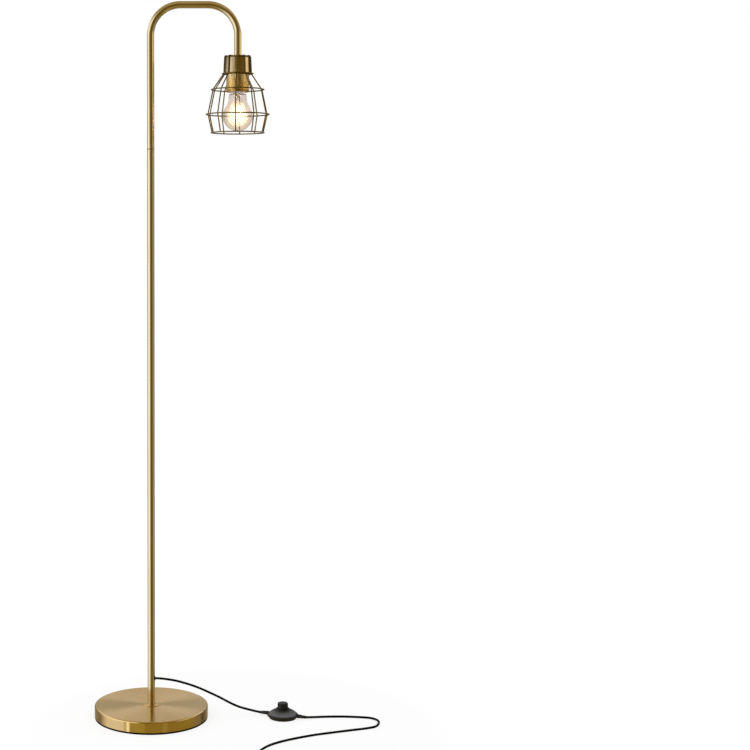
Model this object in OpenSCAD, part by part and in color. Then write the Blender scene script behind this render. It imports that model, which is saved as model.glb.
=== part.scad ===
/* [Overall] */
// Height from the floor to the top of the hook
lamp_h = 1570; // [1450:5:1700]
// Distance from the pole's axis to the shade's axis
hook_span = 189; // [165:1:240]
// Clearance on the radius between pieces that screw or press together
fit_gap = 0.1; // [0.05:0.05:0.2]

/* [Base] */
// Diameter of the base
base_d = 250; // [200:5:300]
// Height of the pressed metal cover of the base
base_h = 23.5; // [22:0.5:35]
// Radius of the cover's top edge
base_edge_r = 3; // [1:0.5:6]
// Sheet thickness of the cover
base_sheet = 1; // [0.8:0.1:1.5]
// Thickness of the soft pad under the base
pad_t = 4; // [1.5:0.5:5]
// How far the pad's edge stays inside the cover's edge
pad_inset = 0.5; // [0:0.5:3]
// Thickness of the cast weight's disc
weight_t = 12; // [10:1:18]
// Diameter of the boss in the middle of the weight
weight_boss_d = 60; // [50:1:90]
// Diameter of the washer plate round the pole's foot
foot_plate_d = 41.6; // [34:0.2:60]
// Thickness of the washer plate round the pole's foot
foot_plate_t = 1.2; // [0.8:0.1:2]
// Wall of the collar ring on the pole's foot
collar_wall = 1.6; // [1:0.1:3]
// Height of the collar ring on the pole's foot
collar_h = 3; // [2:0.5:6]
// Width across the flats of the fixing bolt's head
bolt_af = 17; // [15:0.5:19]
// Height of the fixing bolt's head
bolt_head_h = 6; // [5:0.5:7]
// Diameter of the washer under the bolt's head
bolt_washer_d = 30; // [24:1:36]
// Thickness of the washer under the bolt's head
bolt_washer_t = 2; // [1:0.5:2.5]

/* [Pole] */
// Outer diameter of the pole and the hook
pole_d = 16; // [14.6:0.1:20]
// Wall thickness of the pole and the hook
pole_wall = 1; // [0.8:0.1:1.2]
// Straight length of the hook piece above its seam
hook_leg = 247; // [150:1:350]
// Radius of the hook's two bends, at the tube's axis
bend_r = 65; // [45:1:75]
// Straight length of the hook's short leg over the shade
drop_leg = 44; // [30:1:80]
// Length of the threaded bushes pressed into the tube ends
bush_l = 16; // [12:1:24]
// Thread diameter of bushes, nipples and bolt
thread_d = 10; // [9:0.5:11]
// Bore of the hollow nipples
nipple_bore = 7; // [6:0.5:7.5]
// How far the nipples stay back from the far ends of their bushes
nipple_back = 2; // [1:0.5:4]
// How far the bushes sit inside the tube ends
bush_inset = 0.2; // [0.1:0.1:1]

/* [Shade] */
// Diameter of the shade's wire
wire_d = 2.8; // [2:0.1:3.4]
// Number of ribs
rib_count = 10; // [8:1:12]
// Turn of the ribs about the shade's axis
rib_turn = -6; // [-18:1:18]
// How deep welded wires sit in each other
weld_set = 0.3; // [0.2:0.05:0.5]
// Diameter of the hub that the ribs are welded to
hub_d = 24; // [20:1:30]
// Rib axis radius at the top
rib_top_r = 28.9; // [27.5:0.1:32]
// Rib axis radius at the collar ring
rib_collar_r = 30.8; // [30:0.1:34]
// Rib axis radius at the shoulder ring
rib_shoulder_r = 54.6; // [48:0.2:60]
// Rib axis radius at the waist ring
rib_waist_r = 66; // [60:0.5:74]
// Rib axis radius at the bottom ring
rib_bottom_r = 57.6; // [50:0.2:62]
// Drop from the tube's end to the collar ring
collar_drop = 39.6; // [36:0.2:46]
// Drop from the collar ring to the shoulder ring
shoulder_drop = 34.4; // [30:0.2:40]
// Drop from the shoulder ring to the waist ring
waist_drop = 53.6; // [48:0.2:60]
// Drop from the waist ring to the bottom ring
bottom_drop = 39.6; // [34:0.2:46]
// Radius of the ribs' bends at the rings
rib_bend_r = 6; // [4:0.5:10]
// Sheet thickness of the sleeve inside the ribs' neck
sleeve_t = 0.8; // [0.6:0.1:1.2]

/* [Socket cup] */
// Outer diameter of the socket cup
cup_d = 50; // [46:0.5:51]
// Length of the socket cup
cup_l = 76; // [72:0.5:84]
// Sheet thickness of the socket cup
cup_t = 1; // [0.8:0.1:1.4]
// Radius of the cup's top edge
cup_edge_r = 4; // [2:0.5:7]
// Width across the flats of the lock nut in the cup
nut_af = 14; // [13:0.5:17]
// Height of the lock nut in the cup
nut_h = 4; // [3:0.5:5]

/* [Lampholder] */
// Outer diameter of the lampholder
holder_d = 36; // [34.5:0.5:40]
// How far the lampholder stands out of the cup
holder_proud = 2.6; // [1:0.2:5]
// Length of the lampholder's body
holder_body_l = 50; // [49:0.5:54]
// Height of the lampholder's cap
holder_cap_h = 16; // [14:0.5:17]
// Wall thickness of the lampholder's cap
holder_wall = 2; // [1.5:0.1:2.5]
// Length of the lampholder's screw shell
shell_l = 35; // [33:0.5:37]
// Wall thickness of the lampholder's screw shell
shell_wall = 0.4; // [0.3:0.1:0.6]
// Thickness of the insulating core
core_t = 8; // [7:0.5:10]

/* [Bulb] */
// Largest diameter of the bulb
bulb_d = 65; // [60:1:70]
// Length of the bulb from its contact to its tip
bulb_l = 117; // [112:1:124]
// Diameter of the glass neck below the lampholder
bulb_neck_d = 39.4; // [38:0.2:44]
// Radius of the glass shoulder below the lampholder
bulb_shoulder_r = 6; // [5:0.5:7]
// Wall thickness of the glass
glass_t = 0.8; // [0.6:0.1:1.2]
// Diameter of the bulb's screw cap
bulb_cap_d = 26; // [25.5:0.1:26.2]
// Length of the bulb's screw cap
bulb_cap_l = 23; // [20:0.5:24]
// Height of the insulator and the contact above the cap
bulb_tip_h = 4; // [3:0.5:5]
// Clearance between the bulb and what holds it
bulb_gap = 0.3; // [0.2:0.05:0.4]
// Number of light filaments
filament_count = 6; // [4:1:8]
// Diameter of a light filament
filament_d = 1.8; // [1.4:0.1:2.4]
// Length of a light filament
filament_l = 38; // [30:1:40]

/* [Foot switch] */
// Largest diameter of the foot switch
switch_d = 69; // [60:1:76]
// Height of the switch's lower part
switch_tray_h = 6.6; // [6:0.2:9]
// Height of the switch's cover at the button
switch_h = 21; // [19:0.5:25]
// Wall thickness of the switch's mouldings
switch_wall = 2; // [1.6:0.1:2.4]
// Diameter of the foot button
button_d = 23; // [20:0.5:26]
// How far the button stands out of the cover
button_proud = 12; // [7:0.5:14]
// Travel of the button
button_travel = 4; // [3:0.5:5]
// Clearance round the button
button_gap = 0.4; // [0.3:0.05:0.6]
// Thickness of the anti-slip pad under the switch
switch_pad_t = 0.8; // [0.5:0.1:1.2]
// Turns of the button's spring
spring_turns = 5; // [4:1:7]
// Wire diameter of the button's spring
spring_wire = 0.8; // [0.6:0.1:1]

/* [Cord] */
// Diameter of the round cord
cord_d = 5; // [4.5:0.1:5.5]
// Height of the cord's exit from the pole
cord_exit_z = 85; // [70:1:110]
// Radius of the cable's bend inside the exit
exit_bend_r = 7.2; // [6.8:0.1:7.4]
// How far the exit grommet stands out of the pole
grommet_lip = 1; // [0.5:0.1:1.5]
// Length of the plug's moulded body
plug_l = 30; // [26:1:36]
// Width of the plug's moulded body
plug_w = 25; // [23:0.5:28]
// Length of the ribbed strain relief on the plug
relief_l = 26; // [20:1:40]
// Length of the plug's blades
blade_l = 17.5; // [17:0.1:18.5]
// Distance between the plug's blades
blade_pitch = 12.7; // [12.5:0.1:12.9]

/* [Hidden] */
$fn = 48;
over = 1;
axis_tol = 0.01;

brass = "#c6a15a";
brass_polished = "#b98a3e";
steel = "#a9a59c";
iron = "#3a3a3a";
black = "#1c1c1c";
glass = "#dfe6e8";
porcelain = "#e9e2d2";
glow = "#ffe9a8";

// Heights of the base and the pole
cover_top_z = pad_t + base_h;
pole_foot_z = cover_top_z + foot_plate_t;
bend_z = lamp_h - pole_d / 2 - bend_r;
seam_z = bend_z - hook_leg;
pole_sections = 3;
section_l = (seam_z - pole_foot_z) / pole_sections;
head_z = bend_z - drop_leg;
hook_top_z = bend_z + bend_r;

// Diameters that fit in each other
tube_bore = pole_d - 2 * pole_wall;
bush_d = tube_bore - 2 * fit_gap;
thread_hole = thread_d + 2 * fit_gap;
weight_d = base_d - 2 * base_sheet - 4;
weight_recess_d = bolt_washer_d + 4;
weight_recess_h = bolt_head_h + bolt_washer_t;
bolt_top_z = pole_foot_z + bush_inset + bush_l - nipple_back;

// The cord's exit
exit_x = pole_d / 2 + grommet_lip;
grommet_bore = cord_d + 2 * fit_gap;
grommet_hole = cord_d + 2.4;
grommet_d = grommet_hole + 2;

// Heights of the shade, as heights of the wires' axes
hub_t = wire_d + 0.6;
spoke_z = head_z - hub_t / 2;
top_bend_r = wire_d - weld_set;
ring_collar_z = head_z - collar_drop;
ring_shoulder_z = ring_collar_z - shoulder_drop;
ring_waist_z = ring_shoulder_z - waist_drop;
ring_bottom_z = ring_waist_z - bottom_drop;
ring_out = wire_d - weld_set;
spoke_in_r = hub_d / 2 - weld_set;
sleeve_top_z = spoke_z - ring_out - wire_d / 2 - fit_gap;

// Heights of the cup and the lampholder
cup_top_z = head_z - hub_t;
cup_mouth_z = cup_top_z - cup_l;
nut_z = cup_top_z - cup_t - nut_h;
rim_z = cup_mouth_z - holder_proud;
shell_z = rim_z + 3;
core_z = shell_z + shell_l;
body_top_z = rim_z + holder_body_l;
cap_top_z = body_top_z + holder_cap_h;
nipple_foot_z = cap_top_z - 7;
holder_boss_d = thread_d + 6;
shell_bore = bulb_cap_d + 2 * bulb_gap;
shell_od = shell_bore + 2 * shell_wall;
body_bore = shell_od + 1;
core_d = body_bore + 2;

// Heights and curves of the bulb
bulb_top_z = core_z - 3;
bulb_tip_z = bulb_top_z - bulb_l;
bulb_cap_top_z = bulb_top_z - bulb_tip_h;
bulb_cap_z = bulb_cap_top_z - bulb_cap_l;
bulb_r = bulb_d / 2;
globe_z = bulb_tip_z + bulb_r;
neck_r = bulb_neck_d / 2;
shoulder_top_z = rim_z - 0.6;
neck_top_z = shoulder_top_z - bulb_shoulder_r;
neck_z = neck_top_z - 2.4;
flare_h = neck_z - globe_z;
flare_r = (neck_r * neck_r + flare_h * flare_h - bulb_r * bulb_r) / (2 * (bulb_r - neck_r));
cap_wall = 0.5;
glass_stem_r = bulb_cap_d / 2 - cap_wall - fit_gap;
glass_stem_z = bulb_cap_z + 8;
filament_top_r = 5;
filament_foot_r = 11;
filament_top_z = neck_z - 18;
filament_drop = sqrt(filament_l * filament_l - pow(filament_foot_r - filament_top_r, 2));
filament_foot_z = filament_top_z - filament_drop;
filament_gap = 0.3;
lead_d = 0.6;
stem_rod_r = 3;

// Places of the foot switch, in its own frame
switch_at = [290, -8, 0];
switch_turn = -20;
switch_cable_z = switch_tray_h;
button_hole_d = button_d + 2 * button_gap;
collar_top_z = switch_h;
button_top_z = switch_h + button_proud;
flange_d = button_d + 1.8;
flange_t = 1.6;
flange_z = switch_h - switch_wall - flange_t - 0.3;
gland_d = cord_d + 3.4;
gland_out = 3;
switch_entry_r = switch_d / 2 + gland_out;
tray_floor_z = switch_pad_t + switch_wall;
block_d = 16;
block_h = 6;
spring_d = 11;
spring_z = tray_floor_z + block_h;
button_roof_z = button_top_z - 2.5;
button_wall = 1.8;
guide_in_r = button_d / 2 - button_wall;
guide_out_r = flange_d / 2;
guide_top_z = flange_z - button_travel - 0.3;

// The cord's routes and its coil
route_to_switch = [
    [9, 0, 85], [12, 0, 85], [15, 0, 85], [27, 0, 84], [41, 0, 82], [55, 0, 79.5],
    [70, 0, 75.5], [88, 0, 70], [108, 0, 62.5], [129, 0, 53], [150, 0, 43], [171, 1, 31.5],
    [191, 3, 21.5], [210, 7, 14.5], [228, 10, 9], [242, 10, 6]
];
route_on_floor = [
    [338, -23.5, 5.6], [350, -19.5, 4.2], [364, -14.5, 3], [382, -11, 2.5], [402, -10, 2.5],
    [424, -10, 2.5], [446, -12, 2.5], [466, -15, 2.5], [483, -20, 2.5], [495, -33, 2.5],
    [497, -48, 2.5], [493, -65, 2.5], [484, -79, 2.5], [462, -90, 2.5], [436, -99, 2.5],
    [408, -109, 2.5], [381, -119, 2.5], [355, -129, 2.5], [328, -142, 2.5], [303, -156, 2.5],
    [277, -173, 2.5], [253, -194, 2.5], [235, -220, 2.5], [222, -252, 2.5], [216, -286, 2.5],
    [214.7, -315, 2.5]
];
coil_at = [180, -350];
coil_r = 34.7;
coil_pitch = 5.6;
coil_layer = 5.6;
coil_turns = 5.25;
coil_loop_rings = 24;
floor_cord_z = 2.5;
plug_z = floor_cord_z + coil_layer;
plug_h = 2 * plug_z;

function unit(v) = v / norm(v);

// Signed turn at the corner between three points of a flat path
function turn_at(a, b, c) =
    let (u = unit(b - a), v = unit(c - b)) atan2(cross(u, v), u * v);

// Length that the corner's bend takes off the straights beside it
function bend_cut(a, b, c, r) = r * tan(abs(turn_at(a, b, c)) / 2);

// A round bar or tube along a flat path in the XZ plane, its corners bent to the radii
module bent_bar(path, radii, d, bore = 0) {
    last = len(path) - 1;
    cuts = [for (i = [0:last])
        i == 0 || i == last ? 0 : bend_cut(path[i - 1], path[i], path[i + 1], radii[i - 1])];
    for (i = [0:last - 1]) {
        along = unit(path[i + 1] - path[i]);
        from = path[i] + along * cuts[i];
        run = norm(path[i + 1] - path[i]) - cuts[i] - cuts[i + 1];
        translate([from[0], 0, from[1]])
            rotate([0, atan2(along[0], along[1]), 0])
                round_length(run, d, bore);
    }
    for (i = [1:1:last - 1])
        bend(path[i - 1], path[i], path[i + 1], radii[i - 1], cuts[i], d, bore);
}

module round_length(run, d, bore) {
    difference() {
        cylinder(h = run, d = d);
        if (bore > 0)
            translate([0, 0, -over]) cylinder(h = run + 2 * over, d = bore);
    }
}

module bend(a, b, c, r, cut, d, bore) {
    turn = turn_at(a, b, c);
    side = turn > 0 ? 1 : -1;
    along = unit(b - a);
    inward = [-along[1], along[0]] * side;
    centre = b - along * cut + inward * r;
    first = atan2(-inward[1], -inward[0]);
    translate([centre[0], 0, centre[1]])
        rotate([90, 0, 0])
            rotate([0, 0, side > 0 ? first : first + turn])
                rotate_extrude(angle = abs(turn), $fn = 96)
                    translate([r, 0]) difference() {
                        circle(d = d, $fn = 32);
                        if (bore > 0)
                            circle(d = bore, $fn = 32);
                    }
}

module ring(r, z, d) {
    translate([0, 0, z])
        rotate_extrude($fn = 96) translate([r, 0]) circle(d = d, $fn = 24);
}

module hexagon(af, h, hole) {
    difference() {
        cylinder(h = h, d = af / cos(30), $fn = 6);
        translate([0, 0, -over]) cylinder(h = h + 2 * over, d = hole);
    }
}

module disc(d, h, hole) {
    difference() {
        cylinder(h = h, d = d, $fn = 96);
        translate([0, 0, -over]) cylinder(h = h + 2 * over, d = hole);
    }
}

module at_head() {
    translate([hook_span, 0, 0]) children();
}

module at_switch() {
    translate(switch_at) rotate([0, 0, switch_turn]) children();
}

// Points of a smooth line through a route, with one more point in each span
function between(p, i) =
    let (last = len(p) - 1,
         a = p[max(i - 1, 0)], b = p[i], c = p[min(i + 1, last)], d = p[min(i + 2, last)])
    (9 * (b + c) - a - d) / 16;

function smooth(p) = [for (i = [0:len(p) - 1]) for (half = [0, 1])
    if (half == 0) p[i] else if (i < len(p) - 1) between(p, i)];

// Rings of points round a line, square to it
function tangents(p) = [for (i = [0:len(p) - 1])
    unit(p[min(i + 1, len(p) - 1)] - p[max(i - 1, 0)])];

function ring_points(at, along, r, sides, face) =
    let (across = unit(cross(face, along)), up = cross(along, across))
    [for (k = [0:sides - 1])
        at + r * (cos(360 * k / sides) * up + sin(360 * k / sides) * across)];

module swept_tube(line, r, sides, face = [0, 0, 1]) {
    along = tangents(line);
    n = len(line);
    points = [for (i = [0:n - 1]) each ring_points(line[i], along[i], r, sides, face)];
    walls = [for (i = [0:n - 2]) for (k = [0:sides - 1])
        let (m = (k + 1) % sides, a = i * sides + k, b = i * sides + m,
             c = (i + 1) * sides + m, d = (i + 1) * sides + k)
        each [[a, b, c], [a, c, d]]];
    near_end = [for (k = [1:sides - 2]) [0, k + 1, k]];
    far_end = [for (k = [1:sides - 2])
        [(n - 1) * sides, (n - 1) * sides + k, (n - 1) * sides + k + 1]];
    polyhedron(points = points, faces = concat(walls, near_end, far_end), convexity = 8);
}

// Points along a flat path in the XZ plane, its corners bent to the radii
function corner_points(a, b, c, r) =
    let (turn = turn_at(a, b, c), side = turn > 0 ? 1 : -1, along = unit(b - a),
         inward = [-along[1], along[0]] * side,
         centre = b - along * bend_cut(a, b, c, r) + inward * r,
         steps = max(ceil(abs(turn) / 22), 2))
    [for (k = [0:steps])
        let (lean = abs(turn) * k / steps)
        centre + r * (sin(lean) * along - cos(lean) * inward)];

function bent_line(path, radii) =
    let (last = len(path) - 1,
         flat = concat([path[0]],
             [for (i = [1:last - 1]) each corner_points(path[i - 1], path[i], path[i + 1], radii[i - 1])],
             [path[last]]))
    [for (p = flat) [p[0], 0, p[1]]];

module bent_wire(path, radii, d, sides) {
    swept_tube(bent_line(path, radii), d / 2, sides, [0, 1, 0]);
}

// The base

module base_pad() {
    color(black) cylinder(h = pad_t, d = base_d - 2 * pad_inset, $fn = 96);
}

module base_weight() {
    color(iron) translate([0, 0, pad_t]) difference() {
        union() {
            cylinder(h = weight_t, d = weight_d, $fn = 96);
            cylinder(h = base_h - base_sheet, d = weight_boss_d, $fn = 96);
        }
        translate([0, 0, -over]) cylinder(h = base_h + 2 * over, d = thread_hole);
        translate([0, 0, -over])
            cylinder(h = weight_recess_h + over, d = weight_recess_d);
    }
}

// Half outline of the pressed cover, grown or shrunk by a thickness
module cover_outline(in) {
    r = base_d / 2 - in;
    top = base_h - in;
    edge = max(base_edge_r - in, 0.5);
    square([r - edge, top]);
    square([r, top - edge]);
    translate([r - edge, top - edge]) circle(r = edge, $fn = 32);
}

module base_cover() {
    color(brass) translate([0, 0, pad_t]) difference() {
        rotate_extrude($fn = 128) difference() {
            intersection() {
                cover_outline(0);
                square([base_d, base_h + over]);
            }
            translate([0, -over]) square([base_d / 2 - base_sheet, over]);
            cover_outline(base_sheet);
        }
        cylinder(h = base_h + over, d = thread_hole);
    }
}

module base_bolt() {
    color(steel) {
        translate([0, 0, pad_t]) cylinder(h = bolt_head_h, d = bolt_af / cos(30), $fn = 6);
        translate([0, 0, pad_t]) cylinder(h = bolt_top_z - pad_t, d = thread_d);
    }
}

module base_bolt_washer() {
    color(steel) translate([0, 0, pad_t + bolt_head_h])
        disc(bolt_washer_d, bolt_washer_t, thread_hole);
}

module foot_plate() {
    color(brass) translate([0, 0, cover_top_z]) disc(foot_plate_d, foot_plate_t, thread_hole);
}

module foot_collar() {
    color(brass) translate([0, 0, pole_foot_z])
        disc(pole_d + 2 * fit_gap + 2 * collar_wall, collar_h, pole_d + 2 * fit_gap);
}

// The pole and the hook

module pole_section(i) {
    translate([0, 0, pole_foot_z + i * section_l]) round_length(section_l, pole_d, tube_bore);
}

module pole_lower() {
    color(brass) difference() {
        pole_section(0);
        translate([0, 0, cord_exit_z]) rotate([0, 90, 0])
            cylinder(h = pole_d, d = grommet_hole);
    }
}

module pole_middle() {
    color(brass) pole_section(1);
}

module pole_upper() {
    color(brass) pole_section(2);
}

module bush(z) {
    translate([0, 0, z]) disc(bush_d, bush_l, thread_hole);
}

module pole_bushes() {
    color(steel) {
        bush(pole_foot_z + bush_inset);
        for (i = [1:pole_sections]) {
            bush(pole_foot_z + i * section_l + bush_inset);
            bush(pole_foot_z + i * section_l - bush_inset - bush_l);
        }
        at_head() bush(head_z + bush_inset);
    }
}

module nipple(z, l) {
    translate([0, 0, z]) disc(thread_d, l, nipple_bore);
}

module pole_nipples() {
    reach = bush_l + bush_inset - nipple_back;
    color(steel) for (i = [1:pole_sections])
        nipple(pole_foot_z + i * section_l - reach, 2 * reach);
}

hook_path = [[0, seam_z], [0, hook_top_z], [hook_span, hook_top_z], [hook_span, head_z]];

module hook_tube() {
    color(brass) bent_bar(hook_path, [bend_r, bend_r], pole_d, tube_bore);
}

module inner_cable() {
    color(black) bent_bar(
        [[exit_x, cord_exit_z], [0, cord_exit_z], [0, hook_top_z],
         [hook_span, hook_top_z], [hook_span, nipple_foot_z - 3]],
        [exit_bend_r, bend_r, bend_r], cord_d);
}

module cord_grommet() {
    color(black) difference() {
        union() {
            grommet_barrel(grommet_d, exit_x, pole_d / 2);
            grommet_barrel(grommet_hole - 2 * fit_gap, exit_x - axis_tol, tube_bore / 2 - 0.6);
        }
        translate([0, 0, cord_exit_z]) rotate([0, 90, 0])
            cylinder(h = exit_x + over, d = grommet_bore);
    }
}

// A barrel along the exit's axis, between two radii about the pole's axis
module grommet_barrel(d, out_r, in_r) {
    difference() {
        intersection() {
            translate([0, 0, cord_exit_z]) rotate([0, 90, 0]) cylinder(h = pole_d, d = d);
            translate([0, 0, cord_exit_z - d]) cylinder(h = 2 * d, r = out_r, $fn = 96);
        }
        translate([0, 0, cord_exit_z - d]) cylinder(h = 2 * d, r = in_r, $fn = 96);
    }
}

// The wire shade

rib_path = [
    [spoke_in_r, spoke_z],
    [rib_top_r, spoke_z],
    [rib_collar_r, ring_collar_z],
    [rib_shoulder_r, ring_shoulder_z],
    [rib_waist_r, ring_waist_z],
    [rib_bottom_r, ring_bottom_z + ring_out]
];

module shade_hub() {
    color(brass) at_head() translate([0, 0, head_z - hub_t]) disc(hub_d, hub_t, thread_hole);
}

module shade_ribs() {
    color(brass) at_head() for (i = [0:rib_count - 1])
        rotate([0, 0, -90 + rib_turn + i * 360 / rib_count])
            bent_wire(rib_path, [top_bend_r, rib_bend_r, rib_bend_r, rib_bend_r], wire_d, 10);
}

module ring_top() {
    color(brass) at_head() ring(rib_top_r - top_bend_r, spoke_z - ring_out, wire_d);
}

module ring_collar() {
    color(brass) at_head() ring(rib_collar_r + ring_out, ring_collar_z, wire_d);
}

module ring_shoulder() {
    color(brass) at_head() ring(rib_shoulder_r + ring_out, ring_shoulder_z, wire_d);
}

module ring_waist() {
    color(brass) at_head() ring(rib_waist_r + ring_out, ring_waist_z, wire_d);
}

module ring_bottom() {
    color(brass) at_head() ring(rib_bottom_r, ring_bottom_z, wire_d);
}

// Outer radius of the sleeve at a height, just inside the ribs
function sleeve_r(z) = rib_top_r - wire_d / 2 - fit_gap
    + (rib_collar_r - rib_top_r) * (spoke_z - z) / (spoke_z - ring_collar_z);

module shade_sleeve() {
    top_r = sleeve_r(sleeve_top_z);
    foot_r = sleeve_r(ring_collar_z);
    color(brass_polished) at_head() rotate_extrude($fn = 96) polygon([
        [top_r, sleeve_top_z], [foot_r, ring_collar_z],
        [foot_r - sleeve_t, ring_collar_z], [top_r - sleeve_t, sleeve_top_z]
    ]);
}

// The socket cup and the lampholder

module cup_outline(in) {
    r = cup_d / 2 - in;
    top = cup_l - in;
    edge = max(cup_edge_r - in, 0.5);
    square([r - edge, top]);
    square([r, top - edge]);
    translate([r - edge, top - edge]) circle(r = edge, $fn = 32);
}

module socket_cup() {
    color(brass_polished) at_head() translate([0, 0, cup_mouth_z]) difference() {
        rotate_extrude($fn = 96) difference() {
            cup_outline(0);
            translate([0, -over]) square([cup_d / 2 - cup_t, over + axis_tol]);
            cup_outline(cup_t);
        }
        cylinder(h = cup_l + over, d = thread_hole);
    }
}

module head_nipple() {
    color(steel) at_head()
        nipple(nipple_foot_z, head_z + bush_l - nipple_back - nipple_foot_z);
}

module lock_nut() {
    color(steel) at_head() translate([0, 0, nut_z]) hexagon(nut_af, nut_h, thread_hole);
}

module holder_cap() {
    color(black) at_head() translate([0, 0, body_top_z]) rotate_extrude() difference() {
        polygon([[0, 0], [holder_d / 2, 0], [holder_d / 2, 5],
            [holder_boss_d / 2 + 2, holder_cap_h - 4], [holder_boss_d / 2, holder_cap_h],
            [0, holder_cap_h]]);
        polygon([[0, -over], [holder_d / 2 - holder_wall, -over],
            [holder_d / 2 - holder_wall, 4], [holder_boss_d / 2, holder_cap_h - 8],
            [0, holder_cap_h - 8]]);
        square([thread_hole / 2, holder_cap_h + over]);
    }
}

module holder_body() {
    color(porcelain) at_head() difference() {
        translate([0, 0, rim_z]) cylinder(h = holder_body_l, d = holder_d);
        translate([0, 0, rim_z - over]) cylinder(h = holder_body_l, d = body_bore);
        translate([0, 0, core_z]) cylinder(h = holder_body_l, d = core_d + 2 * fit_gap);
    }
}

module holder_core() {
    color(porcelain) at_head() difference() {
        translate([0, 0, core_z]) cylinder(h = core_t, d = core_d);
        screw_places() translate([0, 0, core_z - over])
            cylinder(h = core_t + 2 * over, d = 3 + 2 * fit_gap);
    }
}

module screw_shell() {
    color(brass) at_head() translate([0, 0, shell_z])
        disc(shell_od, shell_l, shell_bore);
}

module centre_contact() {
    leaf_w = 6;
    leaf_t = 0.5;
    low = bulb_top_z + bulb_gap - core_z;
    color(brass) at_head() translate([0, leaf_w / 2, core_z]) rotate([90, 0, 0])
        linear_extrude(height = leaf_w)
            polygon([[-9, 0], [-9, -leaf_t], [-5, -leaf_t], [-2, low], [3, low],
                [3, low + leaf_t], [-1.7, low + leaf_t], [-4.4, 0]]);
}

module screw_places() {
    for (side = [-1, 1]) translate([0, side * 9, 0]) children();
}

module terminal_screws() {
    color(brass) at_head() screw_places() {
        translate([0, 0, core_z + 1]) cylinder(h = core_t, d = 3);
        translate([0, 0, core_z + core_t]) cylinder(h = 1.6, d = 5.5);
    }
}

module lead_wires() {
    top = nipple_foot_z - 3;
    foot = core_z + core_t + 1.6;
    color(black) at_head() for (side = [-90, 90]) rotate([0, 0, side])
        bent_wire([[1.2, top], [1.2, top - 2.5], [9, foot + 2], [9, foot]], [1, 1], 1.4, 6);
}

// The bulb

// Half outline of the glass, shrunk by a thickness
module glass_outline(in) {
    centre = [neck_r + flare_r, neck_z];
    translate([0, globe_z]) circle(r = bulb_r - in, $fn = 96);
    difference() {
        polygon([[0, globe_z], centre, [0, neck_z]]);
        translate(centre) circle(r = flare_r + in, $fn = 96);
    }
    translate([0, neck_z]) square([neck_r - in, neck_top_z - neck_z]);
    translate([neck_r - bulb_shoulder_r, neck_top_z])
        circle(r = bulb_shoulder_r - in, $fn = 48);
    translate([0, neck_top_z - over])
        square([neck_r - bulb_shoulder_r, bulb_shoulder_r + over - in]);
    translate([0, neck_top_z]) square([glass_stem_r - in, glass_stem_z - neck_top_z]);
}

module bulb_glass() {
    color(glass, 0.35) at_head() rotate_extrude($fn = 96) intersection() {
        difference() {
            glass_outline(0);
            glass_outline(glass_t);
        }
        translate([0, bulb_tip_z - over]) square([bulb_d, bulb_l]);
    }
}

module bulb_cap() {
    color(steel) at_head() difference() {
        translate([0, 0, bulb_cap_z]) cylinder(h = bulb_cap_l, d = bulb_cap_d);
        translate([0, 0, bulb_cap_z - over])
            cylinder(h = bulb_cap_l + over - cap_wall, d = bulb_cap_d - 2 * cap_wall);
        translate([0, 0, bulb_cap_z]) cylinder(h = bulb_cap_l + over, d = 10);
    }
}

module bulb_insulator() {
    color(black) at_head() translate([0, 0, bulb_cap_top_z]) rotate_extrude()
        polygon([[0, 0], [11, 0], [6.5, bulb_tip_h - 1], [0, bulb_tip_h - 1]]);
}

module bulb_contact() {
    color(steel) at_head() translate([0, 0, bulb_top_z - 1]) cylinder(h = 1, d = 9);
}

module bulb_stem() {
    flare_z = bulb_cap_z + 1;
    color(glass, 0.5) at_head() rotate_extrude() polygon([
        [0, filament_foot_z], [1, filament_foot_z], [1, filament_top_z + 4],
        [stem_rod_r, filament_top_z + 6], [stem_rod_r, neck_z],
        [stem_rod_r + 2, neck_top_z + 2], [glass_stem_r - glass_t - fit_gap, flare_z],
        [glass_stem_r - glass_t - fit_gap, flare_z + 2],
        [0, flare_z + 2]
    ]);
}

module filament_places() {
    for (i = [0:filament_count - 1]) rotate([0, 0, (i + 0.5) * 360 / filament_count])
        children();
}

module bulb_leads() {
    color(steel) at_head() filament_places() {
        bent_wire([[stem_rod_r, filament_top_z + 8], [filament_top_r, filament_top_z + 8],
            [filament_top_r, filament_top_z + filament_gap]], [1], lead_d, 6);
        bent_wire([[1, filament_foot_z + 1], [filament_foot_r, filament_foot_z - 3],
            [filament_foot_r, filament_foot_z - filament_gap]], [1], lead_d, 6);
    }
}

module bulb_filaments() {
    color(glow) at_head() filament_places()
        bent_bar([[filament_foot_r, filament_foot_z], [filament_top_r, filament_top_z]],
            [], filament_d);
}

// The foot switch

module switch_pad() {
    color(black) at_switch() cylinder(h = switch_pad_t, d = switch_d - 9);
}

// The two glands' places, each with its axis pointing out of the switch
module gland_places(start_r) {
    for (side = [0, 180]) rotate([0, 0, side])
        translate([start_r, 0, switch_cable_z]) rotate([0, 90, 0]) children();
}

module gland_holes() {
    gland_places(switch_d / 2 - switch_wall - 3)
        cylinder(h = switch_d, d = gland_d + 2 * fit_gap);
}

module switch_tray() {
    r = switch_d / 2;
    color(black) at_switch() difference() {
        rotate_extrude($fn = 96) polygon([
            [0, switch_pad_t], [r - 4, switch_pad_t], [r - 1.5, switch_tray_h - 2],
            [r, switch_tray_h - 1], [r, switch_tray_h], [r - switch_wall, switch_tray_h],
            [r - switch_wall - 3, tray_floor_z], [guide_out_r, tray_floor_z],
            [guide_out_r, guide_top_z], [guide_in_r, guide_top_z],
            [guide_in_r, tray_floor_z], [0, tray_floor_z]
        ]);
        gland_holes();
    }
}

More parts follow.
